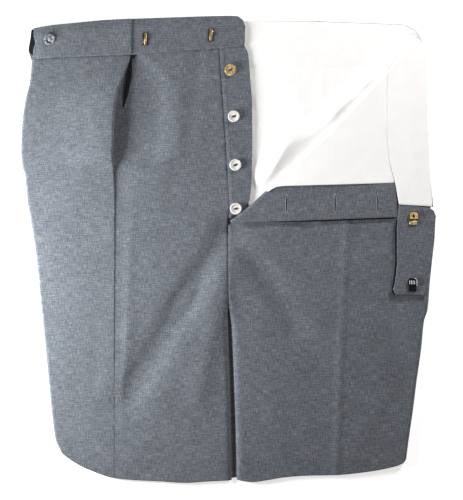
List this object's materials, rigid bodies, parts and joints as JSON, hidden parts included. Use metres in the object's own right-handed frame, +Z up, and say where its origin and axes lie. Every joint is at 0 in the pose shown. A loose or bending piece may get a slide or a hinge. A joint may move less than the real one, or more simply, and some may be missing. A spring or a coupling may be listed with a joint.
{
  "type": "shorts",
  "caption": "Wide high-waisted wool shorts laid flat, with a front pleat, a button fly opened on one side, its corner turned over to show the white lining, and a hooked waistband tab",
  "frame": {"origin": "on the surface, under the middle of the garment's box", "axes": "+Z up from the surface it lies on, +Y from the hems to the waist, +X to the wearer's left"},
  "size_m": [0.4976, 0.5598, 0.0121],
  "materials": {
    "wool_cloth": "woven grey worsted wool, matt with a faint melange",
    "white_lining": "plain white cotton lining, matt",
    "horn_button": "polished horn",
    "pearl_button": "polished shell",
    "grey_button": "grey polished shell",
    "brass_hardware": "stamped brass, worn",
    "black_hardware": "black lacquered steel, edges worn bright"
  },
  "bodies": {
    "root": {"back_right": "wool_cloth", "back_left": "wool_cloth", "waistband_back": "wool_cloth", "back_lining": "white_lining", "waistband_back_lining": "white_lining", "front_right": "wool_cloth", "waistband_right_side": "wool_cloth", "waistband_right_front": "wool_cloth", "fly_underlap": "wool_cloth", "front_left": "wool_cloth", "front_left_lining": "white_lining", "waistband_left": "wool_cloth", "waistband_left_lining": "white_lining", "fly_facing": "wool_cloth", "waistband_tab": "wool_cloth", "fly_button_1": "horn_button", "fly_button_2": "pearl_button", "fly_button_3": "pearl_button", "fly_button_4": "pearl_button", "waistband_button": "grey_button", "hook_bar_1": "brass_hardware", "hook_bar_2": "brass_hardware", "hook_1": "brass_hardware", "hook_2": "black_hardware"}
  },
  "joints": []
}
